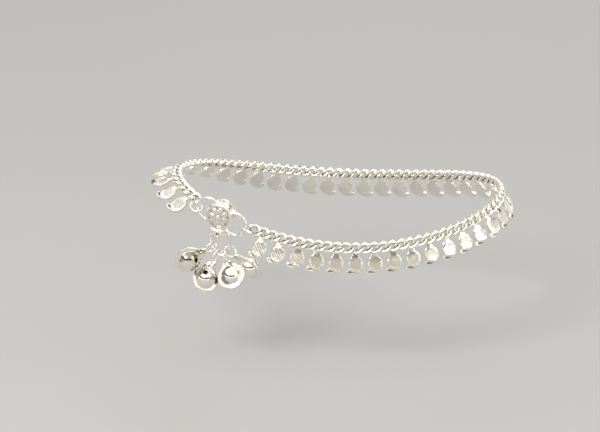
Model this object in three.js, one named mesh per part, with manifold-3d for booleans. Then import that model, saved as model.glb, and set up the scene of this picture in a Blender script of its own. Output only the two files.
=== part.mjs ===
// Silver payal anklet, in millimetres, +Z up.
// The closed loop is held as it sits on an ankle: long way along X, clasp at the front on the -Y side.
// The origin is the middle of the opening that the ankle fills.

import * as THREE from 'three';
import { mergeVertices } from 'three/addons/utils/BufferGeometryUtils.js';
import Module from 'manifold-3d';

const wasm = await Module();
wasm.setup();

// Loop: an oval seen from above, high over the instep and sunk along both sides.
const LOOP_HALF_LENGTH = 48.5;
const LOOP_HALF_WIDTH = 30;
const INSTEP_RISE = 2.8; // the instep end is this much above the middle, the heel end as much below
const END_LIFT = 4.6; // both ends are lifted by this, both sides sunk by it

// Lean of the drops away from straight down, in degrees.
const LEAN_AT_SIDES = 12;
const LEAN_ADDED_AT_INSTEP = 62;
const LEAN_ADDED_AT_HEEL = 18;

// Curb chain, as one flat band along the loop; angles in degrees round the loop.
const CHAIN_START_ANGLE = 240.5;
const CHAIN_END_ANGLE = 568.8;
const CHAIN_WIDTH = 3.7;
const CHAIN_THICKNESS = 1.8;
const CHAIN_STEPS = 80;

// Paisley drops under the chain.
const DROP_COUNT = 43;
const DROP_END_MARGIN = 1.9;
const DROP_THICKNESS = 1.0;
const NECK_HALF_WIDTH = 0.95;
const NECK_LENGTH = 0.25;

// Clasp: two plates with the rings between them.
const CLASP_ANGLE = 224.6;
const CLASP_FACING = 20; // degrees that its face turns from -Y towards -X
const FRONT_RADIUS = 4.15;
const BACK_RADIUS = 4.3;
const LOBE_RADIUS = 2.6;
const LOBE_CENTRE = new THREE.Vector2(0.7, -4.5);
const PLATE_GAP = 2.7;
const FRONT_EDGE = 0.6;
const FRONT_DOME = 0.6;
const BACK_THICKNESS = 0.7;
const SCREW_CENTRE = new THREE.Vector2(1.3, -4.7);
const SCREW_RADIUS = 0.5;
const KNOB_RADIUS = 1.25;
const KNOB_HEIGHT = 0.8;
const KNOB_HOLE_RADIUS = 0.45;
const KNOB_HOLE_DEPTH = 0.6;
const POST_RADIUS = 0.5;

// Jump rings and end links, of round wire.
const RING_WIRE = 0.9;
const RING_RADIUS = 3.4; // to the middle of the wire
const RING_LAYER = 0.6; // side rings lie this far behind the middle of the clasp, the bell ring in front
const RING_LEFT = new THREE.Vector2(-4.3, 0); // ring middles in the clasp's own frame: X towards the heel, Y up
const RING_RIGHT = new THREE.Vector2(4.7, -1.4);
const BELL_RING_HALF_LENGTH = 4.4;
const BELL_RING_HALF_WIDTH = 2.95;
const END_LINK_WIRE = 0.7;
// Each end link joins a side ring to the chain: its middle, its long way, and its roll about that, in degrees.
const END_LINK_LEFT = {
  halfLength: 2.1,
  halfWidth: 1.6,
  middle: [-8.2, -1.1, -1],
  along: [-0.8, 0.15, -0.6],
  roll: 60,
};
const END_LINK_RIGHT = {
  halfLength: 2.6,
  halfWidth: 1.6,
  middle: [9.2, -1.7, -0.2],
  along: [1, 0.25, 0.45],
  roll: 62,
};

// Bells: two half shells on a pear-shaped flange, with a loop at right angles to it.
const BELL_RADIUS = 2.95;
const BELL_WALL = 0.4;
const FLANGE_RADIUS = 4.1;
const FLANGE_THICKNESS = 0.6;
const BELL_REACH = 7.4; // loop centre to bell centre
const BELL_LOOP_RADIUS = 1.75;
const BELL_LOOP_WIRE = 0.6;
const BELL_LOOP_SLACK = 0.6; // ring wire to the middle of the loop
const BELL_NECK_HALF_WIDTH = 0.75;
const SOUND_HOLE_RADIUS = 0.7;
const SOUND_HOLE_OFFSET = 1.9;
const PELLET_RADIUS = 1.0;

const GAP = 0.33; // between pieces that touch on the real anklet

// How each bell hangs, in degrees: place on the ring from its lowest point, swing from straight down,
// lift towards the front, and twist about its own length.
const BELL_POSES = [
  { ringPlace: -61, swing: -62, lift: 34, twist: -26 },
  { ringPlace: -23, swing: -19, lift: 20, twist: 12 },
  { ringPlace: 18, swing: 49, lift: 42, twist: -32 },
  { ringPlace: 58, swing: 52, lift: -3, twist: 31 },
];

const UP = new THREE.Vector3(0, 0, 1);
const { cos, sin, PI } = Math;
const radians = THREE.MathUtils.degToRad;

function silver(roughness) {
  return new THREE.MeshStandardMaterial({ color: 0xe9e6dc, roughness, metalness: 1 });
}

function namedMesh(name, geometry, roughness) {
  const mesh = new THREE.Mesh(geometry, silver(roughness));
  mesh.name = name;
  return mesh;
}

// Joining and cutting.
function toSolid(geometry) {
  const bare = geometry.clone();
  bare.deleteAttribute('normal');
  bare.deleteAttribute('uv');
  const merged = mergeVertices(bare, 1e-4);
  const vertProperties = new Float32Array(merged.attributes.position.array);
  const triVerts = new Uint32Array(merged.index.array);
  return new wasm.Manifold(new wasm.Mesh({ numProp: 3, vertProperties, triVerts }));
}

function toGeometry(solid) {
  const { vertProperties, triVerts } = solid.getMesh();
  const geometry = new THREE.BufferGeometry();
  geometry.setAttribute('position', new THREE.BufferAttribute(vertProperties, 3));
  geometry.setIndex(new THREE.BufferAttribute(triVerts, 1));
  geometry.computeVertexNormals();
  return geometry;
}

// The loop as a function of the angle round it, in radians.
function loopPoint(angle) {
  const height = -INSTEP_RISE * cos(angle) + END_LIFT * cos(2 * angle);
  return new THREE.Vector3(LOOP_HALF_LENGTH * cos(angle), LOOP_HALF_WIDTH * sin(angle), height);
}

function loopTangent(angle) {
  const climb = INSTEP_RISE * sin(angle) - 2 * END_LIFT * sin(2 * angle);
  return new THREE.Vector3(-LOOP_HALF_LENGTH * sin(angle), LOOP_HALF_WIDTH * cos(angle), climb).normalize();
}

function dropLean(angle) {
  const instep = Math.max(0, -cos(angle)) ** 3;
  const heel = Math.max(0, cos(angle)) ** 3;
  return radians(LEAN_AT_SIDES + LEAN_ADDED_AT_INSTEP * instep + LEAN_ADDED_AT_HEEL * heel);
}

// Along the chain, down the drops, and out of the chain's face.
function loopFrame(angle) {
  const along = loopTangent(angle);
  const outward = new THREE.Vector3(along.y, -along.x, 0).normalize();
  const lean = dropLean(angle);
  const down = UP.clone().multiplyScalar(-cos(lean)).addScaledVector(outward, sin(lean));
  down.addScaledVector(along, -down.dot(along)).normalize();
  const face = new THREE.Vector3().crossVectors(down, along);
  return { point: loopPoint(angle), along, down, face };
}

class ChainRoute extends THREE.Curve {
  angleAt(t) {
    return radians(THREE.MathUtils.lerp(CHAIN_START_ANGLE, CHAIN_END_ANGLE, t));
  }

  getPoint(t) {
    return loopPoint(this.angleAt(t));
  }

  computeFrenetFrames(segments) {
    const tangents = [];
    const normals = [];
    const binormals = [];
    for (let i = 0; i <= segments; i += 1) {
      const { along, down, face } = loopFrame(this.angleAt(this.getUtoTmapping(i / segments)));
      tangents.push(along);
      normals.push(down);
      binormals.push(face.negate());
    }
    return { tangents, normals, binormals };
  }
}

const chainRoute = new ChainRoute();
chainRoute.arcLengthDivisions = 1000;

function chainBand() {
  const section = new THREE.Shape();
  section.absellipse(0, 0, CHAIN_WIDTH / 2, CHAIN_THICKNESS / 2, 0, 2 * PI);
  const options = { steps: CHAIN_STEPS, extrudePath: chainRoute, curveSegments: 4 };
  return namedMesh('chain_band', new THREE.ExtrudeGeometry(section, options), 0.25);
}

// One drop, hanging from its neck at the origin down -Y, with its curled toe towards -X.
function paisleyGeometry() {
  const outline = new THREE.Shape();
  outline.moveTo(NECK_HALF_WIDTH, 0);
  outline.lineTo(-NECK_HALF_WIDTH, 0);
  outline.lineTo(-NECK_HALF_WIDTH, -NECK_LENGTH);
  outline.bezierCurveTo(-1.9, -0.9, -2.25, -2.4, -1.6, -3.65);
  outline.bezierCurveTo(-1.7, -4.0, -2.2, -4.15, -2.65, -4.3);
  outline.bezierCurveTo(-3.0, -5.3, -1.7, -5.75, -0.2, -5.5);
  outline.bezierCurveTo(1.3, -5.3, 2.4, -4.0, 2.4, -2.6);
  outline.bezierCurveTo(2.4, -1.4, 1.8, -0.55, NECK_HALF_WIDTH, -NECK_LENGTH);
  outline.closePath();
  const options = { depth: DROP_THICKNESS, bevelEnabled: false, curveSegments: 4 };
  return new THREE.ExtrudeGeometry(outline, options).translate(0, 0, -DROP_THICKNESS / 2);
}

function paisleyDrops() {
  const drops = [];
  const geometry = paisleyGeometry();
  const length = chainRoute.getLength();
  for (let i = 0; i < DROP_COUNT; i += 1) {
    const distance = THREE.MathUtils.lerp(DROP_END_MARGIN, length - DROP_END_MARGIN, i / (DROP_COUNT - 1));
    const angle = chainRoute.angleAt(chainRoute.getUtoTmapping(distance / length));
    const { point, along, down, face } = loopFrame(angle);
    const drop = namedMesh(`paisley_drop_${String(i + 1).padStart(2, '0')}`, geometry, 0.35);
    drop.quaternion.setFromRotationMatrix(new THREE.Matrix4().makeBasis(along, down.clone().negate(), face));
    drop.position.copy(point).addScaledVector(down, CHAIN_WIDTH / 2 + GAP);
    drops.push(drop);
  }
  return drops;
}

// Lies in the XY plane; a round ring when both halves are alike.
function wireRing(halfAlongX, halfAlongY, wire, segments = 18) {
  const geometry = new THREE.TorusGeometry(halfAlongY, wire / 2, 6, segments);
  const place = geometry.attributes.position;
  for (let i = 0; i < place.count; i += 1) {
    const angle = Math.atan2(place.getY(i), place.getX(i));
    place.setX(i, place.getX(i) + (halfAlongX - halfAlongY) * cos(angle));
  }
  return geometry;
}

function upright(geometry) {
  return geometry.rotateX(PI / 2);
}

function pin(radius, fromZ, toZ, centre, segments = 14) {
  const geometry = upright(new THREE.CylinderGeometry(radius, radius, toZ - fromZ, segments));
  return toSolid(geometry.translate(centre.x, centre.y, (fromZ + toZ) / 2));
}

function domedDisc(radius, edge, dome, segments) {
  const profile = [new THREE.Vector2(0, 0), new THREE.Vector2(radius, 0), new THREE.Vector2(radius, edge)];
  for (const share of [0.75, 0.5, 0.25, 0]) {
    profile.push(new THREE.Vector2(radius * share, edge + dome * (1 - share * share)));
  }
  return upright(new THREE.LatheGeometry(profile, segments));
}

const CENTRE = new THREE.Vector2(0, 0);

function claspFront() {
  const lobe = domedDisc(LOBE_RADIUS, FRONT_EDGE, FRONT_DOME / 2, 20).translate(LOBE_CENTRE.x, LOBE_CENTRE.y, 0);
  const bore = pin(SCREW_RADIUS + GAP, -1, 3, SCREW_CENTRE);
  const plate = toSolid(domedDisc(FRONT_RADIUS, FRONT_EDGE, FRONT_DOME, 28)).add(toSolid(lobe)).subtract(bore);
  return namedMesh('clasp_front_disc', toGeometry(plate).translate(0, 0, PLATE_GAP / 2), 0.3);
}

// Each post stands inside its ring, against the side nearest the middle of the clasp.
const POST_INSET = RING_RADIUS - RING_WIRE / 2 - POST_RADIUS - GAP;
const POST_LEFT = new THREE.Vector2(RING_LEFT.x + POST_INSET, RING_LEFT.y);
const POST_RIGHT = new THREE.Vector2(RING_RIGHT.x - POST_INSET, RING_RIGHT.y + 0.2);

function claspBack() {
  const low = -PLATE_GAP / 2 - BACK_THICKNESS;
  const high = -PLATE_GAP / 2;
  const postTop = PLATE_GAP / 2 - GAP;
  const plate = pin(BACK_RADIUS, low, high, CENTRE, 28).add(pin(LOBE_RADIUS, low, high, LOBE_CENTRE, 20));
  const posts = pin(POST_RADIUS, low, postTop, POST_LEFT).add(pin(POST_RADIUS, low, postTop, POST_RIGHT));
  return namedMesh('clasp_back_plate', toGeometry(plate.add(posts)), 0.3);
}

function claspScrew() {
  const seat = PLATE_GAP / 2 + FRONT_EDGE + FRONT_DOME / 2 + GAP;
  const top = seat + KNOB_HEIGHT;
  const shaft = pin(SCREW_RADIUS, -PLATE_GAP / 2 + GAP, seat + 0.1, SCREW_CENTRE);
  const knob = pin(KNOB_RADIUS, seat, top, SCREW_CENTRE, 18);
  const dimple = pin(KNOB_HOLE_RADIUS, top - KNOB_HOLE_DEPTH, top + 1, SCREW_CENTRE, 12);
  return namedMesh('clasp_screw', toGeometry(shaft.add(knob).subtract(dimple)), 0.25);
}

// Hangs from its loop at the origin down -Y, flange in the XY plane.
function bellGeometry() {
  const rim = new THREE.Shape();
  rim.moveTo(-BELL_NECK_HALF_WIDTH, -BELL_LOOP_RADIUS);
  rim.bezierCurveTo(-1.5, -3.6, -FLANGE_RADIUS, -5, -FLANGE_RADIUS, -BELL_REACH);
  rim.absarc(0, -BELL_REACH, FLANGE_RADIUS, PI, 2 * PI);
  rim.bezierCurveTo(FLANGE_RADIUS, -5, 1.5, -3.6, BELL_NECK_HALF_WIDTH, -BELL_LOOP_RADIUS);
  rim.closePath();
  const options = { depth: FLANGE_THICKNESS, bevelEnabled: false, curveSegments: 5 };
  const flange = new THREE.ExtrudeGeometry(rim, options).translate(0, 0, -FLANGE_THICKNESS / 2);
  const shell = new THREE.SphereGeometry(BELL_RADIUS, 16, 10).translate(0, -BELL_REACH, 0);
  const hollow = new THREE.SphereGeometry(BELL_RADIUS - BELL_WALL, 12, 8).translate(0, -BELL_REACH, 0);
  const holes = pin(SOUND_HOLE_RADIUS, -5, 5, new THREE.Vector2(0, SOUND_HOLE_OFFSET - BELL_REACH), 10);
  const loop = wireRing(BELL_LOOP_RADIUS, BELL_LOOP_RADIUS, BELL_LOOP_WIRE, 14).rotateY(PI / 2);
  const body = toSolid(shell).add(toSolid(flange)).subtract(toSolid(hollow)).subtract(holes);
  return toGeometry(body.add(toSolid(loop)));
}

// The bell ring and its bells, hung from the screw; down and side lie in the plane of the clasp.
function bellCluster(clasp) {
  const down = new THREE.Vector3(0, 0, -1).transformDirection(clasp.matrixWorld.clone().invert());
  down.setZ(0).normalize();
  const side = new THREE.Vector3(-down.y, down.x, 0);
  const front = new THREE.Vector3(0, 0, 1);
  const drop = BELL_RING_HALF_LENGTH - RING_WIRE / 2 - SCREW_RADIUS - GAP;
  const ringCentre = new THREE.Vector3(SCREW_CENTRE.x, SCREW_CENTRE.y, RING_LAYER).addScaledVector(down, drop);

  const cluster = new THREE.Group();
  const oval = wireRing(BELL_RING_HALF_LENGTH, BELL_RING_HALF_WIDTH, RING_WIRE, 20);
  const ring = namedMesh('bell_ring', oval, 0.2);
  ring.position.copy(ringCentre);
  ring.rotation.z = Math.atan2(down.y, down.x);
  cluster.add(ring);

  const geometry = bellGeometry();
  BELL_POSES.forEach(({ ringPlace, swing, lift, twist }, i) => {
    const place = ringCentre.clone();
    place.addScaledVector(down, BELL_RING_HALF_LENGTH * cos(radians(ringPlace)));
    place.addScaledVector(side, BELL_RING_HALF_WIDTH * sin(radians(ringPlace)));

    const reach = new THREE.Vector3().addScaledVector(down, cos(radians(swing)));
    reach.addScaledVector(side, sin(radians(swing))).multiplyScalar(cos(radians(lift)));
    reach.addScaledVector(front, sin(radians(lift)));
    const face = front.clone().addScaledVector(reach, -reach.dot(front)).normalize();
    face.applyAxisAngle(reach, radians(twist));

    const hung = new THREE.Group();
    const top = reach.clone().negate();
    const across = new THREE.Vector3().crossVectors(top, face);
    hung.quaternion.setFromRotationMatrix(new THREE.Matrix4().makeBasis(across, top, face));
    hung.position.copy(place).addScaledVector(reach, BELL_LOOP_SLACK);
    hung.add(namedMesh(`bell_${i + 1}`, geometry, 0.12));
    cluster.add(hung);
  });
  return cluster;
}

// A loose ball lies at the bottom of each bell.
function addPellets(cluster) {
  const drop = BELL_RADIUS - BELL_WALL - PELLET_RADIUS - 1.4 * GAP;
  cluster.children.slice(1).forEach((hung, i) => {
    const down = new THREE.Vector3(0, 0, -1).transformDirection(hung.matrixWorld.clone().invert());
    const ball = new THREE.SphereGeometry(PELLET_RADIUS, 10, 6);
    const pellet = namedMesh(`pellet_${i + 1}`, ball, 0.5);
    pellet.position.set(0, -BELL_REACH, 0).addScaledVector(down, drop);
    hung.add(pellet);
  });
}

function claspGroup() {
  const out = new THREE.Vector3(-sin(radians(CLASP_FACING)), -cos(radians(CLASP_FACING)), 0);
  const from = loopPoint(radians(CHAIN_END_ANGLE));
  const to = loopPoint(radians(CHAIN_START_ANGLE));
  const along = to.clone().sub(from);
  along.addScaledVector(out, -along.dot(out)).normalize();
  const top = new THREE.Vector3().crossVectors(out, along);
  const clasp = new THREE.Group();
  clasp.quaternion.setFromRotationMatrix(new THREE.Matrix4().makeBasis(along, top, out));
  clasp.position.copy(loopPoint(radians(CLASP_ANGLE)));
  clasp.updateMatrixWorld(true);
  return clasp;
}

function sideRing(name, middle) {
  const ring = namedMesh(name, wireRing(RING_RADIUS, RING_RADIUS, RING_WIRE), 0.2);
  ring.position.set(middle.x, middle.y, -RING_LAYER);
  return ring;
}

function endLink(name, { halfLength, halfWidth, middle, along: direction, roll }) {
  const link = namedMesh(name, wireRing(halfLength, halfWidth, END_LINK_WIRE, 16), 0.2);
  const face = new THREE.Vector3(0, 0, 1);
  const along = new THREE.Vector3(...direction).normalize();
  face.addScaledVector(along, -face.dot(along)).normalize().applyAxisAngle(along, radians(roll));
  const across = new THREE.Vector3().crossVectors(face, along);
  link.quaternion.setFromRotationMatrix(new THREE.Matrix4().makeBasis(along, across, face));
  link.position.set(...middle);
  return link;
}

const clasp = claspGroup();
clasp.add(claspFront(), claspBack(), claspScrew());
clasp.add(sideRing('ring_left', RING_LEFT), sideRing('ring_right', RING_RIGHT));
clasp.add(endLink('end_link_left', END_LINK_LEFT), endLink('end_link_right', END_LINK_RIGHT));
const cluster = bellCluster(clasp);
clasp.add(cluster);
clasp.updateMatrixWorld(true);
addPellets(cluster);

const group = new THREE.Group();
group.add(chainBand(), ...paisleyDrops(), clasp);

export default group;
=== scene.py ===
# %% [markdown]
# # A silver payal anklet
# A payal is a closed chain worn low on the ankle. This one is a curb chain with a fringe of small paisley
# drops, fastened in front by a round clasp that carries four jingle bells.
# Everything is polished silver, so the lesson is mostly about small true shapes and what they reflect.

# %% Load the solid model
import bisect
import math

import bmesh
import bpy
from mathutils import Matrix, Vector


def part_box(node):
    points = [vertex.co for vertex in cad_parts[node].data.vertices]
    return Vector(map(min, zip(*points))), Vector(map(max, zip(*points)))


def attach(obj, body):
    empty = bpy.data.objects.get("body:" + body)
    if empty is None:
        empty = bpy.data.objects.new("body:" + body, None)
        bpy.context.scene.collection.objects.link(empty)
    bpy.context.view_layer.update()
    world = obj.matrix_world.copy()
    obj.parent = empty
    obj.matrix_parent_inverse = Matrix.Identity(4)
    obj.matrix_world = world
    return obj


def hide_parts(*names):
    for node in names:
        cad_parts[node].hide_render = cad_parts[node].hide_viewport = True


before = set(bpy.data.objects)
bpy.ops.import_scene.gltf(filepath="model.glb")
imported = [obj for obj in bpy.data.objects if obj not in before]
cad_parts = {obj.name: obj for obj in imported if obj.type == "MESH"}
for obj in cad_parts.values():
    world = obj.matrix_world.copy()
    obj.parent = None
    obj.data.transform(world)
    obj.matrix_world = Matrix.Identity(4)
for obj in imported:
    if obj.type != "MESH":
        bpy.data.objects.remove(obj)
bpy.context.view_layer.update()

# %% [markdown]
# ## Working units
# Jewellery is drawn in millimetres. Every mesh below is built in millimetres where it belongs, and one matrix
# turns it into metres when the piece is finished.

# %% Units and angles
MM = 0.001
TO_METRES = Matrix.Scale(MM, 4)
rad = math.radians


def spread(low, high, share):
    """The value that lies at this share of the way from low to high."""
    return low + (high - low) * share


def clamp(value, low=0.0, high=1.0):
    return max(low, min(high, value))


def swell(value, low, high):
    """Rises smoothly from 0 at low to 1 at high."""
    share = clamp((value - low) / (high - low))
    return share * share * (3 - 2 * share)


print("one millimetre is", MM, "m")

# %% [markdown]
# ## Colours and nodes
# Colours are easiest to choose as sRGB hex values, but a shader works in linear light, so one function turns
# the first into the second. One more function adds a shader node with its settings and its links.

# %% Colour and node helpers
def colour(hex_code):
    """Turns an sRGB hex value into linear red, green, blue and alpha."""
    channels = [int(hex_code[i : i + 2], 16) / 255 for i in (0, 2, 4)]
    linear = [c / 12.92 if c <= 0.04045 else ((c + 0.055) / 1.055) ** 2.4 for c in channels]
    return (*linear, 1.0)


def node(tree, kind, settings=None, **links):
    """Adds one node: settings are its values or properties, links join its inputs, spaces written as _."""
    made = tree.nodes.new(kind)
    for name, value in (settings or {}).items():
        if name in made.inputs:
            made.inputs[name].default_value = value
        else:
            setattr(made, name, value)
    for name, source in links.items():
        tree.links.new(source, made.inputs[name.replace("_", " ")])
    return made


print("middle grey in linear light:", [round(c, 3) for c in colour("808080")])

# %% [markdown]
# ## Silver, three ways
# Silver reflects nearly all light, with a trace of warmth. What tells one silver surface from another is how
# it was made. Drawn wire is smooth with a faint grain along it. Stamped relief is a little rougher, and
# a darker skin of tarnish stays in its hollows, where no cloth reaches. The same dark colour is also painted
# into recesses and crevices as shade. Thin polished sheet is almost a mirror, but never quite flat, so its
# reflections wander.
# Each mesh carries an attribute called hollow, from 0 on the high places to 1 in the deep ones, and the
# tarnish and painted shade follow it.

# %% Make the silver finishes
BRIGHT_SILVER = "FBF8F1"
WARM_SILVER = "F6F1E6"
# The dark colour for the hollows: tarnish, and also painted shade in recesses and crevices.
TARNISH_AND_SHADE = "6E6556"


def silver(name, tarnish_and_shade_share, rough, rough_spread, wave_mm, wave_depth, grain_mm, grain_depth):
    """Silver with wandering tone, tarnish and painted shade in its hollows, broad waves and a fine grain."""
    material = bpy.data.materials.new(name)
    material.use_nodes = True
    tree = material.node_tree
    tree.nodes.clear()
    place = node(tree, "ShaderNodeTexCoord").outputs["Object"]
    waves = node(tree, "ShaderNodeTexNoise", {"Scale": 1 / (wave_mm * MM), "Detail": 2.0}, Vector=place)
    grain = node(tree, "ShaderNodeTexNoise", {"Scale": 1 / (grain_mm * MM), "Detail": 3.0}, Vector=place)
    tone = node(
        tree,
        "ShaderNodeMixRGB",
        {"Color1": colour(WARM_SILVER), "Color2": colour(BRIGHT_SILVER)},
        Fac=waves.outputs["Fac"],
    )
    hollow = node(tree, "ShaderNodeAttribute", {"attribute_name": "hollow"}).outputs["Fac"]
    # Tarnish and painted shade: the hollow attribute mixes in the dark colour.
    shade_and_tarnish = node(tree, "ShaderNodeMath", {"operation": "MULTIPLY", "use_clamp": True}, Value=hollow)
    shade_and_tarnish.inputs[1].default_value = tarnish_and_shade_share
    skin = node(
        tree,
        "ShaderNodeMixRGB",
        {"Color2": colour(TARNISH_AND_SHADE)},
        Fac=shade_and_tarnish.outputs[0],
        Color1=tone.outputs[0],
    )
    rough_map = node(
        tree,
        "ShaderNodeMapRange",
        {"To Min": rough - rough_spread, "To Max": rough + rough_spread},
        Value=grain.outputs["Fac"],
    )
    broad = node(
        tree,
        "ShaderNodeBump",
        {"Strength": 1.0, "Distance": wave_depth * MM},
        Height=waves.outputs["Fac"],
    )
    fine = node(
        tree,
        "ShaderNodeBump",
        {"Strength": 1.0, "Distance": grain_depth * MM},
        Height=grain.outputs["Fac"],
        Normal=broad.outputs["Normal"],
    )
    shader = node(
        tree,
        "ShaderNodeBsdfPrincipled",
        {"Metallic": 1.0},
        Base_Color=skin.outputs[0],
        Roughness=rough_map.outputs["Result"],
        Normal=fine.outputs["Normal"],
    )
    node(tree, "ShaderNodeOutputMaterial", Surface=shader.outputs["BSDF"])
    return material


drawn_silver = silver("Drawn silver wire", 0.8, 0.16, 0.05, 1.6, 0.03, 0.22, 0.006)
stamped_silver = silver("Stamped silver relief", 0.8, 0.19, 0.05, 1.2, 0.03, 0.18, 0.012)
polished_silver = silver("Polished silver sheet", 0.7, 0.07, 0.03, 2.4, 0.05, 0.3, 0.002)
print("finishes:", [m.name for m in (drawn_silver, stamped_silver, polished_silver)])

# %% [markdown]
# The loose balls in the bells are cheap iron shot, tumbled until it is dull.

# %% Make the shot finish
def iron_shot():
    """Dull grey metal with a coarse tumbled skin."""
    material = bpy.data.materials.new("Tumbled iron shot")
    material.use_nodes = True
    tree = material.node_tree
    tree.nodes.clear()
    place = node(tree, "ShaderNodeTexCoord").outputs["Object"]
    skin = node(tree, "ShaderNodeTexNoise", {"Scale": 1 / (0.4 * MM), "Detail": 4.0}, Vector=place)
    tone = node(
        tree,
        "ShaderNodeMixRGB",
        {"Color1": colour("8D8780"), "Color2": colour("B9B3A8")},
        Fac=skin.outputs["Fac"],
    )
    dents = node(
        tree, "ShaderNodeBump", {"Strength": 1.0, "Distance": 0.04 * MM}, Height=skin.outputs["Fac"]
    )
    shader = node(
        tree,
        "ShaderNodeBsdfPrincipled",
        {"Metallic": 1.0, "Roughness": 0.45},
        Base_Color=tone.outputs[0],
        Normal=dents.outputs["Normal"],
    )
    node(tree, "ShaderNodeOutputMaterial", Surface=shader.outputs["BSDF"])
    return material


shot = iron_shot()
print("finish:", shot.name)

# %% [markdown]
# ## Finishing a piece
# Every piece ends the same way. Its mesh is put where it belongs, faces are shaded smooth except across
# sharp edges, the solids it stands for are hidden, and the piece is attached to the body that carries it.

# %% Piece helper
SHARP_ANGLE = rad(38)


def hollow_layer(bm):
    """The per-vertex value that the tarnish follows."""
    return bm.verts.layers.float.get("hollow") or bm.verts.layers.float.new("hollow")


def make_piece(bm, name, material, place, body, nodes):
    """Turns a mesh in millimetres into a finished object that stands for some solids."""
    hollow_layer(bm)
    bm.transform(TO_METRES @ place)
    for face in bm.faces:
        face.smooth = True
    for edge in bm.edges:
        edge.smooth = edge.calc_face_angle(0.0) < SHARP_ANGLE
    mesh = bpy.data.meshes.new(name)
    bm.to_mesh(mesh)
    bm.free()
    mesh.materials.append(material)
    piece = bpy.data.objects.new(name, mesh)
    bpy.context.collection.objects.link(piece)
    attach(piece, body)
    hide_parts(*nodes)
    return piece


print("edges sharper than", round(math.degrees(SHARP_ANGLE)), "degrees stay crisp")

# %% [markdown]
# ## The line of the loop
# Worn, the anklet is an oval that climbs over the instep, sinks along both sides and rises a little at
# the heel. A formula gives its line, the same one as the solids follow: half lengths for the oval and two
# cosines for its height. The drops lean out as the foot spreads under them, most of all over the instep.

# %% Loop formula
LOOP_HALF_LENGTH = 48.5
LOOP_HALF_WIDTH = 30.0
INSTEP_RISE = 2.8
END_LIFT = 4.6
LEAN_AT_SIDES = 12
LEAN_ADDED_AT_INSTEP = 62
LEAN_ADDED_AT_HEEL = 18
CHAIN_START, CHAIN_END = rad(240.5), rad(568.8)


def loop_point(angle):
    height = -INSTEP_RISE * math.cos(angle) + END_LIFT * math.cos(2 * angle)
    return Vector((LOOP_HALF_LENGTH * math.cos(angle), LOOP_HALF_WIDTH * math.sin(angle), height))


def loop_tangent(angle):
    climb = INSTEP_RISE * math.sin(angle) - 2 * END_LIFT * math.sin(2 * angle)
    along = Vector((-LOOP_HALF_LENGTH * math.sin(angle), LOOP_HALF_WIDTH * math.cos(angle), climb))
    return along.normalized()


def loop_place(angle, drop=0.0):
    """A matrix with X along the chain, Y up the drops and Z out of the chain's face."""
    along = loop_tangent(angle)
    outward = Vector((along.y, -along.x, 0)).normalized()
    instep = max(0, -math.cos(angle)) ** 3
    heel = max(0, math.cos(angle)) ** 3
    lean = rad(LEAN_AT_SIDES + LEAN_ADDED_AT_INSTEP * instep + LEAN_ADDED_AT_HEEL * heel)
    down = Vector((0, 0, -math.cos(lean))) + outward * math.sin(lean)
    down = (down - along * down.dot(along)).normalized()
    face = down.cross(along)
    turned = Matrix((along, -down, face)).transposed().to_4x4()
    return Matrix.Translation(loop_point(angle) + down * drop) @ turned


print("front of the loop:", loop_point(math.pi), "heel:", loop_point(0.0))

# %% [markdown]
# Links and drops are spaced by length along the chain, not by angle, so the line is measured once in small
# steps. Angles past the chain's two ends are allowed, for the links that hook into the clasp.

# %% Measure along the chain
MEASURE_STEPS = 4000
measured_angles = [spread(CHAIN_START, CHAIN_END, i / MEASURE_STEPS) for i in range(MEASURE_STEPS + 1)]
measured_lengths = [0.0]
for before, after in zip(measured_angles, measured_angles[1:]):
    measured_lengths.append(measured_lengths[-1] + (loop_point(after) - loop_point(before)).length)
CHAIN_LENGTH = measured_lengths[-1]


def angle_at(length):
    """The angle round the loop at this length along the chain."""
    i = min(max(bisect.bisect(measured_lengths, length), 1), MEASURE_STEPS)
    low, high = measured_lengths[i - 1], measured_lengths[i]
    return spread(measured_angles[i - 1], measured_angles[i], (length - low) / (high - low))


DROP_COUNT = 43
DROP_END_MARGIN = 1.9
DROP_SPACING = (CHAIN_LENGTH - 2 * DROP_END_MARGIN) / (DROP_COUNT - 1)
print("chain", round(CHAIN_LENGTH, 1), "mm long, a drop every", round(DROP_SPACING, 2), "mm")

# %% [markdown]
# ## Round wire
# Most of a chain is bent wire. A circle spun round an axis makes a closed ring, and pulling it along X
# makes it oval. A real jump ring is cut from a coil and soldered shut, so one section is
# pinched a little to leave the seam.

# %% Wire ring
SEAM_PINCH = 0.9


def wire_ring(half_long, half_wide, wire, turns=64, sides=14):
    """An oval ring of round wire in the XY plane, long way along X."""
    bm = bmesh.new()
    stand = Matrix.Translation((half_wide, 0, 0)) @ Matrix.Rotation(math.pi / 2, 4, "X")
    circle = bmesh.ops.create_circle(bm, segments=sides, radius=wire / 2, matrix=stand)
    rim = circle["verts"] + list({e for v in circle["verts"] for e in v.link_edges})
    bmesh.ops.spin(
        bm, geom=rim, cent=(0, 0, 0), axis=(0, 0, 1), angle=2 * math.pi, steps=turns, use_merge=True
    )
    bmesh.ops.recalc_face_normals(bm, faces=bm.faces)
    for vert in bm.verts:
        turn = math.atan2(vert.co.y, vert.co.x)
        vert.co.x += (half_long - half_wide) * math.cos(turn)
    return bm


def pinch_seam(bm, centre, reach):
    """Narrows the wire where the two cut ends were soldered together."""
    near = [v for v in bm.verts if (v.co - centre).length < reach]
    for vert in near:
        vert.co = centre + (vert.co - centre) * SEAM_PINCH


trial = wire_ring(3.4, 3.4, 0.9)
print("a jump ring has", len(trial.faces), "faces")
trial.free()

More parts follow.
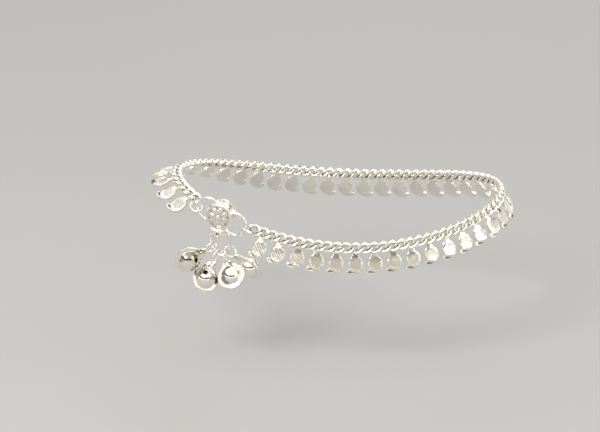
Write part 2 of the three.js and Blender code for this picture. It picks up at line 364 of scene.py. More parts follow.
# %% [markdown]
# ## The curb chain
# A curb chain is made of oval links, each twisted so that the chain lies flat. The twist is what makes it
# a curb: a plain oval is turned about its long way, one end one way and the other end the other way. Each
# link then passes through its neighbours with its wires slanting across the face.
# Inside the bends, where the links rub, the polish never reaches, so those places are marked as hollow and
# get
# the dark colour: tarnish, and painted shade where the links sit in each other.

# %% Shape one link
LINK_HALF_LONG = 1.92
LINK_HALF_WIDE = 1.29
LINK_WIRE = 1.15
LINK_TWIST = rad(-42)


def curb_link():
    """One twisted link, long way along X, flat in XY."""
    bm = wire_ring(LINK_HALF_LONG, LINK_HALF_WIDE, LINK_WIRE, turns=30, sides=10)
    hollow = hollow_layer(bm)
    for vert in bm.verts:
        ring = vert.co.copy()
        turn = math.atan2(ring.y * LINK_HALF_LONG, ring.x * LINK_HALF_WIDE)
        middle = Vector((LINK_HALF_LONG * math.cos(turn), LINK_HALF_WIDE * math.sin(turn), 0))
        inward = (ring - middle).normalized().dot(-middle.normalized())
        # The inner side of the wire, where neighbouring links sit, gets tarnish and painted shade.
        vert[hollow] = swell(inward, 0.2, 1.0)
        twist = LINK_TWIST * ring.x / LINK_HALF_LONG
        vert.co = Matrix.Rotation(twist, 3, "X") @ ring
    return bm


one_link = bpy.data.meshes.new("one_link")
link_bm = curb_link()
link_bm.to_mesh(one_link)
link_bm.free()
print("one link has", len(one_link.polygons), "faces")

# %% [markdown]
# The links are laid along the loop, two for each drop, and one more at each end that hooks into the clasp's
# end links. They are joined into one mesh, because a chain of nearly ninety links is one piece of the anklet.

# %% Lay the chain
LINK_PITCH = DROP_SPACING / 2
LINK_COUNT = 2 * (DROP_COUNT - 1) + 3


def lay_chain():
    bm = bmesh.new()
    hollow_layer(bm)
    for i in range(LINK_COUNT):
        place = loop_place(angle_at(DROP_END_MARGIN + (i - 1) * LINK_PITCH))
        first = len(bm.verts)
        bm.from_mesh(one_link)
        bm.verts.ensure_lookup_table()
        bmesh.ops.transform(bm, matrix=place, verts=bm.verts[first:])
    return bm


curb_chain = make_piece(
    lay_chain(), "curb_chain", drawn_silver, Matrix(), "anklet", ["chain_band"]
)
print(LINK_COUNT, "links,", len(curb_chain.data.polygons), "faces")

# %% [markdown]
# ## The paisley drops
# Each drop is a stamped mango leaf with its toe curled to one side. Its face has a raised rim, a field of
# small square pits and a smooth toe with one engraved crescent. The outline is three flat shapes that share
# edges: the leaf, the toe below its fold, and the neck that is soldered behind the chain.
# An outline in curves keeps the number of points small.

# %% Draw the flat shapes
from mathutils.geometry import interpolate_bezier

DROP_THICKNESS = 1.0
NECK_HALF_WIDTH = 0.95
NECK_FOOT = -0.25
NECK_TOP = 0.95
NECK_TOP_HALF_WIDTH = 0.7


def curve(start, leave, arrive, end, count):
    """Points of one curve, without its last, which the next curve starts with."""
    knots = [Vector((*point, 0)) for point in (start, leave, arrive, end)]
    return interpolate_bezier(*knots, count)[:-1]


def leaf_shapes():
    """Point lists for the leaf, its toe and its neck, each anticlockwise."""
    notch = (-1.6, -3.65)
    toe_tip = (-2.65, -4.3)
    bottom = (-0.2, -5.5)
    side = (2.4, -2.6)
    right_neck, left_neck = (NECK_HALF_WIDTH, NECK_FOOT), (-NECK_HALF_WIDTH, NECK_FOOT)
    left_edge = curve(left_neck, (-1.9, -0.9), (-2.25, -2.4), notch, 12)
    toe_edge = curve(notch, (-1.7, -4.0), (-2.2, -4.15), toe_tip, 6)
    toe_edge += curve(toe_tip, (-3.0, -5.3), (-1.7, -5.75), bottom, 11)
    low_right = curve(bottom, (1.3, -5.3), (2.4, -4.0), side, 15)
    high_right = curve(side, (2.4, -1.4), (1.8, -0.55), right_neck, 9)
    fold_end = len(low_right) // 2 - 1
    fold = curve(notch, (-1.0, -4.3), (0.2, -4.6), low_right[fold_end][:2], 10)
    leaf = low_right[fold_end:] + high_right + [Vector((*right_neck, 0))] + left_edge + fold
    toe = toe_edge + low_right[: fold_end + 1] + fold[:0:-1]
    neck = [right_neck, (NECK_TOP_HALF_WIDTH, NECK_TOP), (-NECK_TOP_HALF_WIDTH, NECK_TOP), left_neck]
    return leaf, toe, [Vector((*point, 0)) for point in neck]


print("outline points:", [len(shape) for shape in leaf_shapes()])

# %% [markdown]
# The flat shapes are extruded to the thickness of the sheet and their edges rounded, as tumbling does. Then
# insets raise the rim, two sets of cuts divide the field into squares, and a last inset presses each square
# into a pit. The cuts run across the leaf at a slant, as the die's do.

# %% Shape one drop
RIM_WIDTH = 0.22
STEP_WIDTH = 0.05
FIELD_DEPTH = 0.08
PIT_PITCH = 0.62
PIT_RIB = 0.17
PIT_DEPTH = 0.2
PIT_SLANT = rad(40)
TOE_MARGIN = 0.38
TOE_GROOVE_DEPTH = 0.26
# Share of the dark colour in the pits: tarnish and painted shade.
PIT_TARNISH_AND_SHADE = 0.4
EDGE_ROUNDING = 0.14
CROWN = 0.3
CROWN_HALF_WIDTH = 2.4
CROWN_HALF_HEIGHT = 2.9
LEAF_MIDDLE = Vector((0.2, -2.7, 0))


def slice_faces(bm, faces, point, normal):
    """Cuts the faces along one plane and gives back all that they became."""
    parts = set(faces)
    for face in faces:
        parts.update(face.edges)
        parts.update(face.verts)
    cut = bmesh.ops.bisect_plane(bm, geom=list(parts), plane_co=point, plane_no=normal)
    return [part for part in cut["geom"] if isinstance(part, bmesh.types.BMFace)]


def flat_plate(outlines, thickness, rounding):
    """A plate with its face at z 0, from flat shapes that share edges, with rounded outer edges."""
    bm = bmesh.new()
    for outline in outlines:
        bm.faces.new([bm.verts.new(point) for point in outline])
    bmesh.ops.remove_doubles(bm, verts=bm.verts, dist=0.001)
    back = bmesh.ops.extrude_face_region(bm, geom=bm.faces[:], use_keep_orig=True)
    moved = [part for part in back["geom"] if isinstance(part, bmesh.types.BMVert)]
    bmesh.ops.translate(bm, verts=moved, vec=(0, 0, -thickness))
    bmesh.ops.recalc_face_normals(bm, faces=bm.faces)
    level = [e for e in bm.edges if abs(e.verts[0].co.z - e.verts[1].co.z) < 0.001]
    rims = [e for e in level if e.calc_face_angle(0) > 1]
    bmesh.ops.bevel(
        bm,
        geom=rims,
        offset=rounding,
        affect="EDGES",
        segments=2,
        profile=0.5,
        material=-1,
        clamp_overlap=True,
    )
    return bm


def front_faces(bm, count):
    """The largest faces that look along Z, largest first."""
    facing = [face for face in bm.faces if face.normal.z > 0.99]
    return sorted(facing, key=lambda face: -face.calc_area())[:count]


def paisley():
    """One drop, hanging from its neck down -Y, its face towards +Z."""
    bm = flat_plate(leaf_shapes(), DROP_THICKNESS, EDGE_ROUNDING)
    hollow = hollow_layer(bm)
    leaf, toe = front_faces(bm, 2)
    bmesh.ops.inset_region(bm, faces=[leaf], thickness=RIM_WIDTH, use_even_offset=True)
    bmesh.ops.inset_region(
        bm, faces=[leaf], thickness=STEP_WIDTH, depth=-FIELD_DEPTH, use_even_offset=True
    )
    bmesh.ops.inset_region(bm, faces=[toe], thickness=TOE_MARGIN, use_even_offset=False)
    bmesh.ops.inset_region(
        bm, faces=[toe], thickness=STEP_WIDTH, depth=-TOE_GROOVE_DEPTH, use_even_offset=False
    )
    # The toe's pressed crescent gets the full dark colour: tarnish and painted shade.
    for vert in toe.verts:
        vert[hollow] = 1.0
    field = [leaf]
    for slant in (PIT_SLANT, PIT_SLANT + math.pi / 2):
        across = Vector((math.cos(slant), math.sin(slant), 0))
        for i in range(-5, 5):
            field = slice_faces(bm, field, LEAF_MIDDLE + across * (i + 0.5) * PIT_PITCH, across)
    pits = [face for face in field if face.calc_area() > 0.35 * PIT_PITCH**2]
    bmesh.ops.inset_individual(bm, faces=pits, thickness=PIT_RIB, depth=-PIT_DEPTH, use_even_offset=True)
    # Each pit gets part of the dark colour: tarnish and painted shade.
    for face in pits:
        for vert in face.verts:
            vert[hollow] = PIT_TARNISH_AND_SHADE
    for vert in bm.verts:
        out = vert.co - LEAF_MIDDLE
        rise = max(0, 1 - (out.x / CROWN_HALF_WIDTH) ** 2 - (out.y / CROWN_HALF_HEIGHT) ** 2)
        vert.co.z += DROP_THICKNESS / 2 + CROWN * (rise - 0.5)
    return bm


one_drop = bpy.data.meshes.new("one_drop")
drop_bm = paisley()
drop_bm.to_mesh(one_drop)
drop_bm.free()
print("one drop has", len(one_drop.polygons), "faces")

# %% [markdown]
# The drops are stamped alike but hang from a chain, so no two hang quite the same. Each is turned a degree
# or two, always by the same rule, so that the fringe glitters as a real one does.

# %% Hang the fringe
CHAIN_HALF_WIDTH = 1.85
NECK_CLEARANCE = 0.33
drops = []
for i in range(DROP_COUNT):
    length = spread(DROP_END_MARGIN, CHAIN_LENGTH - DROP_END_MARGIN, i / (DROP_COUNT - 1))
    hang = loop_place(angle_at(length), CHAIN_HALF_WIDTH + NECK_CLEARANCE)
    turn = Matrix.Rotation(rad(2.5 * math.sin(5.1 * i)), 4, "Y")
    sway = turn @ Matrix.Rotation(rad(2 * math.sin(3.7 * i + 1)), 4, "X")
    bm = bmesh.new()
    bm.from_mesh(one_drop)
    number = f"{i + 1:02d}"
    nodes = ["paisley_drop_" + number]
    place = hang @ sway
    name = "mango_drop_" + number
    drops.append(make_piece(bm, name, stamped_silver, place, "anklet", nodes))
print(len(drops), "drops,", sum(len(drop.data.polygons) for drop in drops), "faces in all")

# %% [markdown]
# ## The clasp
# The clasp is a sandwich: a domed front plate and a flat back plate with a lobe below each, held apart by two
# posts that carry the side rings. A screw through the lobes opens it and carries the ring of bells.
# It faces a little to the side of the foot, so it gets a frame of its own: X towards the heel, Y up, Z out.

# %% Clasp frame
CLASP_ANGLE = rad(224.6)
CLASP_FACING = rad(20)


def clasp_frame():
    out = Vector((-math.sin(CLASP_FACING), -math.cos(CLASP_FACING), 0))
    along = loop_point(CHAIN_START) - loop_point(CHAIN_END)
    along = (along - out * along.dot(out)).normalized()
    turned = Matrix((along, out.cross(along), out)).transposed().to_4x4()
    return Matrix.Translation(loop_point(CLASP_ANGLE)) @ turned


clasp = clasp_frame()
print("clasp at", clasp.translation, "mm")

# %% [markdown]
# Both plates have the outline of a large circle and a small one that overlap. The arcs meet where a triangle
# of the two radii and the distance between centres says.

# %% Plate outline
LOBE_RADIUS = 2.6
LOBE_CENTRE = Vector((0.7, -4.5, 0))


def arc(centre, radius, start, end, count):
    """Points from one angle up to but not including the other."""
    turns = [spread(start, end, i / count) for i in range(count)]
    return [centre + Vector((radius * math.cos(turn), radius * math.sin(turn), 0)) for turn in turns]


def plate_outline(radius):
    reach = LOBE_CENTRE.length
    aim = math.atan2(LOBE_CENTRE.y, LOBE_CENTRE.x)
    chord = (radius**2 - LOBE_RADIUS**2 + reach**2) / (2 * reach)
    half = math.acos(chord / radius)
    lobe_half = math.acos((chord - reach) / LOBE_RADIUS)
    disc = arc(Vector(), radius, aim + half, aim + 2 * math.pi - half, 72)
    return disc + arc(LOBE_CENTRE, LOBE_RADIUS, aim - lobe_half, aim + lobe_half, 40)


print("plate outline has", len(plate_outline(4.15)), "points")

# %% [markdown]
# The front plate is stamped with a rosette: a boss, eight petals with a rib in each, a ring of punch
# marks, and a raised border. The face is cut into a fine net of squares, and each point of the net is raised
# by a formula that adds those shapes up.

# %% Shape the front plate
FRONT_RADIUS = 4.15
FRONT_EDGE = 0.6
FRONT_DOME = 0.6
PLATE_GAP = 2.7
NET_PITCH = 0.15
PETALS = 8
PETAL_REACH = 2.05
PETAL_HALF_LENGTH = 1.05
PETAL_HALF_WIDTH = 0.68
PUNCH_REACH = 2.95


def bump(distance, radius):
    """A round-topped bump, 1 at its middle and 0 past its radius."""
    return math.sqrt(max(0.0, 1 - (distance / radius) ** 2))


def rosette(x, y):
    """Height of the relief on the disc, and how deep in the hollows a point lies."""
    r, turn = math.hypot(x, y), math.atan2(y, x)
    step = 2 * math.pi / PETALS
    off_axis = (turn / step - round(turn / step)) * step
    off_gap = ((turn / step) % 1 - 0.5) * step
    along, across = r * math.cos(off_axis) - PETAL_REACH, r * math.sin(off_axis)
    petal = bump(math.hypot(along / PETAL_HALF_LENGTH, across / PETAL_HALF_WIDTH), 1.0)
    rib = math.exp(-((across / 0.09) ** 2)) * petal
    boss = bump(r, 0.75)
    punch = bump(math.hypot(r * math.cos(off_gap) - PUNCH_REACH, r * math.sin(off_gap)), 0.26)
    border = bump(r - 3.72, 0.26)
    height = 0.24 * petal - 0.09 * rib + 0.3 * boss - 0.16 * punch + 0.13 * border
    raised = max(petal, boss, border)
    # Punch marks, petal ribs and the low ground between petals get the dark colour: tarnish and painted
    # shade.
    dark = clamp(punch + 0.8 * rib + 0.35 * (1 - swell(raised, 0.0, 0.5)) * swell(3.6 - r, 0, 0.3))
    return height, dark


def front_plate():
    bm = flat_plate([plate_outline(FRONT_RADIUS)], FRONT_EDGE, 0.16)
    hollow = hollow_layer(bm)
    net = front_faces(bm, 1)
    for across in (Vector((1, 0, 0)), Vector((0, 1, 0))):
        for i in range(-48, 29):
            net = slice_faces(bm, net, across * (i + 0.5) * NET_PITCH, across)
    for vert in bm.verts:
        if vert.co.z < -FRONT_EDGE / 2:
            continue
        x, y = vert.co.x, vert.co.y
        r, from_lobe = math.hypot(x, y), (vert.co - LOBE_CENTRE).xy.length
        disc_dome = FRONT_DOME * (1 - (r / FRONT_RADIUS) ** 2)
        lobe_dome = FRONT_DOME / 2 * (1 - (from_lobe / LOBE_RADIUS) ** 2)
        on_disc = swell(FRONT_RADIUS - r, -0.1, 0.12)
        relief, dark = rosette(x, y) if on_disc > 0 else (0, 0)
        vert.co.z += spread(max(lobe_dome, 0), max(disc_dome, 0) + relief, on_disc)
        vert[hollow] = dark * on_disc
    bmesh.ops.translate(bm, verts=bm.verts, vec=(0, 0, PLATE_GAP / 2 + FRONT_EDGE))
    return bm


front = make_piece(
    front_plate(),
    "clasp_front_plate",
    stamped_silver,
    clasp,
    "anklet",
    ["clasp_front_disc"],
)
print("front plate has", len(front.data.polygons), "faces")

# %% [markdown]
# ## Back plate and posts
# The back plate is plain sheet. Its posts are short round pins, spun from a profile with a small foot of
# solder.

# %% Spin helper
def spun(profile, steps=32):
    """Spins a profile of (radius, height) pairs round Z into a closed body."""
    bm = bmesh.new()
    verts = [bm.verts.new((radius, 0, height)) for radius, height in profile]
    edges = [bm.edges.new(pair) for pair in zip(verts, verts[1:])]
    bmesh.ops.spin(
        bm, geom=verts + edges, cent=(0, 0, 0), axis=(0, 0, 1), angle=2 * math.pi, steps=steps, use_merge=True
    )
    bmesh.ops.remove_doubles(bm, verts=bm.verts, dist=0.0001)
    bmesh.ops.recalc_face_normals(bm, faces=bm.faces)
    return bm


def add_mesh(bm, other, matrix):
    """Puts a placed copy of another mesh into this one."""
    holder = bpy.data.meshes.new("holder")
    bmesh.ops.transform(other, matrix=matrix, verts=other.verts)
    other.to_mesh(holder)
    other.free()
    bm.from_mesh(holder)
    bpy.data.meshes.remove(holder)


print("spin makes posts, the screw and its knob")

# %% Shape the back plate
BACK_RADIUS = 4.3
BACK_THICKNESS = 0.7
RING_WIRE = 0.9
RING_RADIUS = 3.4
RING_LAYER = 0.6
LEFT_RING = Vector((-4.3, 0, -RING_LAYER))
RIGHT_RING = Vector((4.7, -1.4, -RING_LAYER))
POST_RADIUS = 0.5
POST_INSET = RING_RADIUS - RING_WIRE / 2 - POST_RADIUS - 0.33
POSTS = (Vector((LEFT_RING.x + POST_INSET, 0, 0)), Vector((RIGHT_RING.x - POST_INSET, -1.2, 0)))


def back_plate():
    bm = flat_plate([plate_outline(BACK_RADIUS)], BACK_THICKNESS, 0.14)
    bmesh.ops.translate(bm, verts=bm.verts, vec=(0, 0, -PLATE_GAP / 2))
    foot, head = -PLATE_GAP / 2 - 0.1, PLATE_GAP / 2 + 0.05
    profile = [(0, foot), (0.75, foot), (0.62, foot + 0.2), (POST_RADIUS, foot + 0.35)]
    profile += [(POST_RADIUS, head), (0, head)]
    for post in POSTS:
        add_mesh(bm, spun(profile, 20), Matrix.Translation(post))
    return bm


back = make_piece(
    back_plate(),
    "clasp_rear_plate",
    polished_silver,
    clasp,
    "anklet",
    ["clasp_back_plate"],
)
print("back plate has", len(back.data.polygons), "faces")

# %% [markdown]
# The screw's head is a small knob, pierced in the middle so that a pin can turn it. Its edge is soft from
# polishing, and the inside of the pierced hole is painted dark as shade.

# %% Shape the screw
SCREW_CENTRE = Vector((1.3, -4.7, 0))
SCREW_RADIUS = 0.5
KNOB_RADIUS = 1.25
KNOB_HEIGHT = 0.8
KNOB_ROUNDING = 0.3
KNOB_HOLE_RADIUS = 0.48
KNOB_HOLE_DEPTH = 0.6


def screw():
    seat = PLATE_GAP / 2 + FRONT_EDGE + FRONT_DOME / 2 + 0.2
    top = seat + KNOB_HEIGHT + 0.13
    turns = [rad(a) for a in range(90, -1, -15)]
    inner, under = KNOB_RADIUS - KNOB_ROUNDING, top - KNOB_ROUNDING
    shoulder = [(inner + KNOB_ROUNDING * math.sin(t), under + KNOB_ROUNDING * math.cos(t)) for t in turns]
    profile = [(0, -PLATE_GAP / 2 + 0.1), (SCREW_RADIUS, -PLATE_GAP / 2 + 0.1), (SCREW_RADIUS, seat)]
    profile += [(KNOB_RADIUS - 0.15, seat), (KNOB_RADIUS, seat + 0.12)] + shoulder
    profile += [(KNOB_HOLE_RADIUS + 0.12, top - 0.02), (KNOB_HOLE_RADIUS, top - 0.14)]
    profile += [(KNOB_HOLE_RADIUS - 0.04, top - KNOB_HOLE_DEPTH), (0, top - KNOB_HOLE_DEPTH - 0.08)]
    bm = spun(profile, 40)
    hollow = hollow_layer(bm)
    # Painted shade: the inside of the pierced hole gets the dark colour, fully below its lip.
    for vert in bm.verts:
        if vert.co.xy.length < KNOB_HOLE_RADIUS + 0.05 and vert.co.z > seat:
            vert[hollow] = swell(top - vert.co.z, 0.1, 0.3)
    return bm


knob = make_piece(
    screw(),
    "screw_knob",
    polished_silver,
    clasp @ Matrix.Translation(SCREW_CENTRE),
    "anklet",
    ["clasp_screw"],
)
print("screw has", len(knob.data.polygons), "faces")

# %% [markdown]
# ## Side rings and hook links
# The side rings lie between the plates round the posts, and a twisted-out link on each takes the chain.

# %% Make the rings and links
def ring_piece(name, nodes, half_long, half_wide, wire, place, seam_turn):
    bm = wire_ring(half_long, half_wide, wire)
    seam = Vector((half_long * math.cos(seam_turn), half_wide * math.sin(seam_turn), 0))
    pinch_seam(bm, seam, wire * 0.55)
    return make_piece(bm, name, drawn_silver, place, "anklet", nodes)


def link_place(centre, direction, roll):
    """A place in the clasp's frame with X along the direction, rolled about it."""
    along = Vector(direction).normalized()
    face = (Vector((0, 0, 1)) - along * along.z).normalized()
    face = Matrix.Rotation(roll, 3, along) @ face
    turned = Matrix((along, face.cross(along), face)).transposed().to_4x4()
    return clasp @ Matrix.Translation(Vector(centre)) @ turned


HOOK_WIRE = 0.7
LINK_PLACE_LEFT = link_place((-8.2, -1.1, -1), (-0.8, 0.15, -0.6), rad(60))
LINK_PLACE_RIGHT = link_place((9.2, -1.7, -0.2), (1, 0.25, 0.45), rad(62))
left_place, right_place = clasp @ Matrix.Translation(LEFT_RING), clasp @ Matrix.Translation(RIGHT_RING)
ring_piece("jump_ring_left", ["ring_left"], RING_RADIUS, RING_RADIUS, RING_WIRE, left_place, rad(20))
ring_piece("jump_ring_right", ["ring_right"], RING_RADIUS, RING_RADIUS, RING_WIRE, right_place, rad(200))
ring_piece("hook_link_left", ["end_link_left"], 2.1, 1.6, HOOK_WIRE, LINK_PLACE_LEFT, rad(90))
ring_piece("hook_link_right", ["end_link_right"], 2.6, 1.6, HOOK_WIRE, LINK_PLACE_RIGHT, rad(90))
print("two rings and two links")

# %% [markdown]
# ## The ring of bells
# An oval ring hangs on the screw, and four jingle bells hang on it by their own loops, fanned out over the
# foot. The ring and its bells swing together, so they ride on the bell cluster.

# %% Ring that carries the bells
BELL_RING_HALF_LENGTH = 4.4
BELL_RING_HALF_WIDTH = 2.95
straight_down = (clasp.to_3x3().inverted() @ Vector((0, 0, -1))).xy.normalized().to_3d()
sideways = Vector((-straight_down.y, straight_down.x, 0))
hang_drop = BELL_RING_HALF_LENGTH - RING_WIRE / 2 - SCREW_RADIUS - 0.33
ring_centre = SCREW_CENTRE + Vector((0, 0, RING_LAYER)) + straight_down * hang_drop
ring_turn = Matrix.Rotation(math.atan2(straight_down.y, straight_down.x), 4, "Z")
bell_ring_place = clasp @ Matrix.Translation(ring_centre) @ ring_turn
bell_ring = make_piece(
    wire_ring(BELL_RING_HALF_LENGTH, BELL_RING_HALF_WIDTH, RING_WIRE, turns=80),
    "bell_carrier_ring",
    drawn_silver,
    bell_ring_place,
    "bell_cluster",
    ["bell_ring"],
)
print("bell ring has", len(bell_ring.data.polygons), "faces, its middle at", ring_centre)

# %% [markdown]
# A bell is stamped in two halves. Each half is a dome with a sound hole and a flat flange, pear-shaped
# towards the loop, and the two flanges are soldered face to face. A sphere gives the dome: its pole is turned
# to where the hole goes, the cap round the pole is taken off, and a plane cuts the rest at the flange. The
# flange bridges from the dome's edge to the pear-shaped outline, and the corner between them is softened.
# Two such skins, one inside the other, are joined at the hole and at the rim, which gives the sheet its
# thickness. A mirror makes the other half.

# %% Shape one bell
BELL_RADIUS = 2.95
BELL_SHEET = 0.3
BELL_SEAM = 0.04
BELL_REACH = 7.4
FLANGE_RADIUS = 4.1
BELL_NECK_HALF_WIDTH = 0.75
BELL_LOOP_RADIUS = 1.75
BELL_LOOP_WIRE = 0.6
SOUND_HOLE_RADIUS = 0.7
SOUND_HOLE_OFFSET = 1.9


def pear_outline():
    shoulder = (FLANGE_RADIUS, -BELL_REACH)
    neck = (BELL_NECK_HALF_WIDTH, -BELL_LOOP_RADIUS)
    left = curve((-neck[0], neck[1]), (-1.5, -3.6), (-FLANGE_RADIUS, -5), (-shoulder[0], shoulder[1]), 20)
    bottom = arc(Vector((0, -BELL_REACH, 0)), FLANGE_RADIUS, math.pi, 2 * math.pi, 36)
    right = curve(shoulder, (FLANGE_RADIUS, -5), (1.5, -3.6), neck, 20)
    return left + bottom + right + [Vector((*neck, 0))]


def half_skin(radius, flange_height):
    """One skin of a half: a pierced dome and its pear-shaped flange, open at the hole and the rim."""
    bm = bmesh.new()
    bmesh.ops.create_uvsphere(bm, u_segments=48, v_segments=40, radius=radius)
    hole_height = math.sqrt(radius**2 - SOUND_HOLE_RADIUS**2)
    cap = bm.verts[:] + bm.edges[:] + bm.faces[:]
    bmesh.ops.bisect_plane(bm, geom=cap, plane_co=(0, 0, hole_height), plane_no=(0, 0, 1), clear_outer=True)
    tip = Matrix.Rotation(-math.asin(SOUND_HOLE_OFFSET / radius), 3, "X")
    bmesh.ops.rotate(bm, verts=bm.verts, matrix=tip)
    belly = bm.verts[:] + bm.edges[:] + bm.faces[:]
    level = (0, 0, flange_height)
    bmesh.ops.bisect_plane(bm, geom=belly, plane_co=level, plane_no=(0, 0, 1), clear_inner=True)
    bmesh.ops.remove_doubles(bm, verts=bm.verts, dist=0.02)
    bmesh.ops.translate(bm, verts=bm.verts, vec=(0, -BELL_REACH, 0))
    base = [e for e in bm.edges if e.is_boundary and all(v.co.z < flange_height + 0.02 for v in e.verts)]
    verts = [bm.verts.new(point + Vector((0, 0, flange_height))) for point in pear_outline()]
    rim = [bm.edges.new(pair) for pair in zip(verts, verts[1:] + verts[:1])]
    bmesh.ops.bridge_loops(bm, edges=base + rim)
    bmesh.ops.bevel(bm, geom=base, offset=0.2, affect="EDGES", segments=3, profile=0.5, material=-1)
    return bm


def is_rim(vert):
    """True on the pear-shaped edge, which lies past the dome."""
    return (vert.co - Vector((0, -BELL_REACH, 0))).length > BELL_RADIUS + 0.3


def bell():
    """One bell, hanging down -Y from its loop round the origin, with its flange in the XY plane."""
    bm = half_skin(BELL_RADIUS, BELL_SHEET)
    hollow = hollow_layer(bm)
    outer = len(bm.verts)
    add_mesh(bm, half_skin(BELL_RADIUS - BELL_SHEET, BELL_SEAM / 2), Matrix())
    bm.verts.ensure_lookup_table()
    # Painted shade: the whole inner skin of the bell gets the dark colour.
    for vert in bm.verts[outer:]:
        vert[hollow] = 1.0
    open_edges = [e for e in bm.edges if e.is_boundary]
    bmesh.ops.bridge_loops(bm, edges=[e for e in open_edges if is_rim(e.verts[0])])
    bmesh.ops.bridge_loops(bm, edges=[e for e in open_edges if not is_rim(e.verts[0])])
    bmesh.ops.recalc_face_normals(bm, faces=bm.faces)
    top_rim = [e for e in open_edges if e.is_valid and min(v.co.z for v in e.verts) > BELL_SHEET / 2]
    bmesh.ops.bevel(bm, geom=top_rim, offset=0.08, affect="EDGES", segments=2, profile=0.5, material=-1)
    bmesh.ops.mirror(bm, geom=bm.verts[:] + bm.edges[:] + bm.faces[:], axis="Z", merge_dist=-1)
    bmesh.ops.recalc_face_normals(bm, faces=bm.faces)
    loop = wire_ring(BELL_LOOP_RADIUS, BELL_LOOP_RADIUS, BELL_LOOP_WIRE, 40, 12)
    add_mesh(bm, loop, Matrix.Rotation(math.pi / 2, 4, "Y"))
    return bm


one_bell = bpy.data.meshes.new("one_bell")
bell_bm = bell()
print("bell reaches", min(v.co.z for v in bell_bm.verts), max(v.co.z for v in bell_bm.verts))
bell_bm.to_mesh(one_bell)
bell_bm.free()
print("one bell has", len(one_bell.polygons), "faces")

# %% [markdown]
# Each bell hangs its own way. Four angles in degrees say how: where its loop sits round the ring, how far it
# swings to the side, how far it lifts off the plane of the clasp, and how far it is twisted about its own
# length.

# %% Hang the bells
BELL_POSES = (
    {"ring_place": -61, "swing": -62, "lift": 34, "twist": -26},
    {"ring_place": -23, "swing": -19, "lift": 20, "twist": 12},
    {"ring_place": 18, "swing": 49, "lift": 42, "twist": -32},
    {"ring_place": 58, "swing": 52, "lift": -3, "twist": 31},
)
BELL_LOOP_SLACK = 0.6


def bell_place(ring_place, swing, lift, twist):
    seat = ring_centre + straight_down * BELL_RING_HALF_LENGTH * math.cos(rad(ring_place))
    seat += sideways * BELL_RING_HALF_WIDTH * math.sin(rad(ring_place))
    reach = straight_down * math.cos(rad(swing)) + sideways * math.sin(rad(swing))
    reach = reach * math.cos(rad(lift)) + Vector((0, 0, math.sin(rad(lift))))
    face = (Vector((0, 0, 1)) - reach * reach.z).normalized()
    face = Matrix.Rotation(rad(twist), 3, reach) @ face
    top = -reach
    turned = Matrix((top.cross(face), top, face)).transposed().to_4x4()
    return clasp @ Matrix.Translation(seat + reach * BELL_LOOP_SLACK) @ turned


bells = []
for number, pose in enumerate(BELL_POSES, 1):
    bm = bmesh.new()
    bm.from_mesh(one_bell)
    name, nodes = f"jingle_bell_{number}", [f"bell_{number}"]
    place = bell_place(**pose)
    bells.append(make_piece(bm, name, polished_silver, place, "bell_cluster", nodes))
for number, piece in enumerate(bells, 1):
    low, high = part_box(f"bell_{number}")
    mine = [max(v.co[k] for v in piece.data.vertices) for k in range(3)]
    print(piece.name, "is off its solid by", round(max(abs(a - b) for a, b in zip(mine, high)) / MM, 2), "mm")

# %% [markdown]
# A loose ball lies at the lowest place inside each bell. Tumbled shot is never a perfect ball, so waves
# of different length push its skin in and out a little.

# %% Put a ball in each bell
PELLET_RADIUS = 1.0
PELLET_DROP = BELL_RADIUS - 0.4 - PELLET_RADIUS - 1.4 * 0.33


def pellet(phase):
    bm = bmesh.new()
    bmesh.ops.create_icosphere(bm, subdivisions=4, radius=PELLET_RADIUS)
    for vert in bm.verts:
        wave = math.sin(4 * vert.co.x + phase) + math.sin(5 * vert.co.y + 2 * phase) + math.sin(6 * vert.co.z)
        vert.co *= 1 + 0.012 * wave
    return bm


for number, pose in enumerate(BELL_POSES, 1):
    place = bell_place(**pose)
    low = (place.to_3x3().inverted() @ Vector((0, 0, -1))) * PELLET_DROP
    inside = place @ Matrix.Translation(Vector((0, -BELL_REACH, 0)) + low)
    nodes = [f"pellet_{number}"]
    make_piece(pellet(number), f"loose_shot_{number}", shot, inside, "bell_cluster", nodes)
print(len(BELL_POSES), "balls")

# %% [markdown]
# ## The studio
# Polished silver shows its surroundings, so the studio is chosen for what it puts into the metal. Overhead
# it is bright, a darker band runs round it a little above the horizon, and below lies a pale floor. A dome
# then shows a white top, a dark belt and a pale belly, which is what makes it look round and polished.

# %% Floor
FLOOR_HEIGHT = -45 * MM
FLOOR_RADIUS = 4.0


def floor_material():
    """Matt painted board, very slightly uneven."""
    material = bpy.data.materials.new("Matt pale board")
    material.use_nodes = True
    tree = material.node_tree
    tree.nodes.clear()
    place = node(tree, "ShaderNodeTexCoord").outputs["Object"]
    mottle = node(tree, "ShaderNodeTexNoise", {"Scale": 1 / 0.3, "Detail": 2.0}, Vector=place)
    tone = node(
        tree,
        "ShaderNodeMixRGB",
        {"Color1": colour("A5A4A2"), "Color2": colour("AAA9A7")},
        Fac=mottle.outputs["Fac"],
    )
    shader = node(tree, "ShaderNodeBsdfPrincipled", {"Roughness": 0.8}, Base_Color=tone.outputs[0])
    node(tree, "ShaderNodeOutputMaterial", Surface=shader.outputs["BSDF"])
    return material


floor_bm = bmesh.new()
bmesh.ops.create_circle(floor_bm, cap_ends=True, segments=96, radius=FLOOR_RADIUS)
bmesh.ops.translate(floor_bm, verts=floor_bm.verts, vec=(0, 0, FLOOR_HEIGHT))
floor_mesh = bpy.data.meshes.new("floor")
floor_bm.to_mesh(floor_mesh)
floor_bm.free()
floor_mesh.materials.append(floor_material())
floor = bpy.data.objects.new("floor", floor_mesh)
bpy.context.collection.objects.link(floor)
print("floor at", FLOOR_HEIGHT, "m")

# %% [markdown]
# The world is a gradient over height. What the camera sees directly is a plain pale wall, and what the metal
# sees has the darker band.

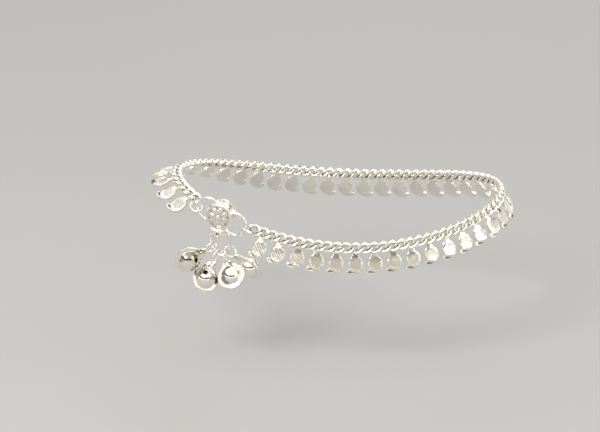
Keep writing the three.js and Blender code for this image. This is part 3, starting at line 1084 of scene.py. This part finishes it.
# %% World
def make_world():
    world = bpy.data.worlds.new("Studio")
    world.use_nodes = True
    bpy.context.scene.world = world
    tree = world.node_tree
    tree.nodes.clear()
    place = node(tree, "ShaderNodeTexCoord").outputs["Generated"]
    height = node(tree, "ShaderNodeSeparateXYZ", Vector=place).outputs["Z"]
    ramp = node(tree, "ShaderNodeValToRGB", Fac=height)
    stops = ramp.color_ramp.elements
    stops[0].position, stops[0].color = 0.2, colour("FFFDF8")
    stops[1].position, stops[1].color = 1.0, colour("FFFFFF")
    for position, tint in ((0.28, "2E261F"), (0.4, "3E342B"), (0.54, "FBFAF8")):
        stop = stops.new(position)
        stop.color = colour(tint)
    light = node(tree, "ShaderNodeLightPath")
    seen = node(
        tree,
        "ShaderNodeMixRGB",
        {"Color2": colour("C4C3C1")},
        Fac=light.outputs["Is Camera Ray"],
        Color1=ramp.outputs["Color"],
    )
    background = node(tree, "ShaderNodeBackground", {"Strength": 1.1}, Color=seen.outputs[0])
    node(tree, "ShaderNodeOutputWorld", Surface=background.outputs[0])
    return world


print("world:", make_world().name)

# %% [markdown]
# Three soft lights: a large key from the upper left in front, a wide fill from the right, and a rim from
# behind.

# %% Lights
AIM = Vector((-0.01, 0, -0.008))


def area_light(name, place, size, power, tint):
    light = bpy.data.lights.new(name, "AREA")
    light.shape = "DISK"
    light.size = size
    light.energy = power
    light.color = colour(tint)[:3]
    lamp = bpy.data.objects.new(name, light)
    lamp.location = place
    lamp.rotation_euler = (AIM - Vector(place)).to_track_quat("-Z", "Y").to_euler()
    bpy.context.collection.objects.link(lamp)
    return lamp


area_light("key", (-0.35, -0.45, 0.55), 0.35, 4.0, "FFFDF9")
area_light("fill", (0.6, -0.3, 0.35), 0.5, 1.2, "F7FAFF")
area_light("rim", (0.1, 0.6, 0.5), 0.4, 0.8, "FFFFFF")
bpy.context.scene.view_settings.view_transform = "Standard"

# %% [markdown]
# ## Camera
# The camera looks from the side of the foot, a little above, with a long lens from well back, so the near
# and far sides of the loop keep nearly the same scale.

# %% Camera
CAMERA_ELEVATION = rad(22)
CAMERA_DISTANCE = 0.7
CAMERA_TARGET = Vector((-11.6, 0, -6.76)) * MM
camera_data = bpy.data.cameras.new("camera")
camera_data.lens = 140
camera_data.sensor_width = 36
camera_data.clip_start = 0.01
camera = bpy.data.objects.new("camera", camera_data)
back_off = Vector((0, -math.cos(CAMERA_ELEVATION), math.sin(CAMERA_ELEVATION)))
camera.location = CAMERA_TARGET + back_off * CAMERA_DISTANCE
camera.rotation_euler = (-back_off).to_track_quat("-Z", "Y").to_euler()
bpy.context.collection.objects.link(camera)
bpy.context.scene.camera = camera
print("camera at", camera.location)

# %% [markdown]
# ## Last step
# The view layer is brought up to date.

# %% Finish
bpy.context.view_layer.update()
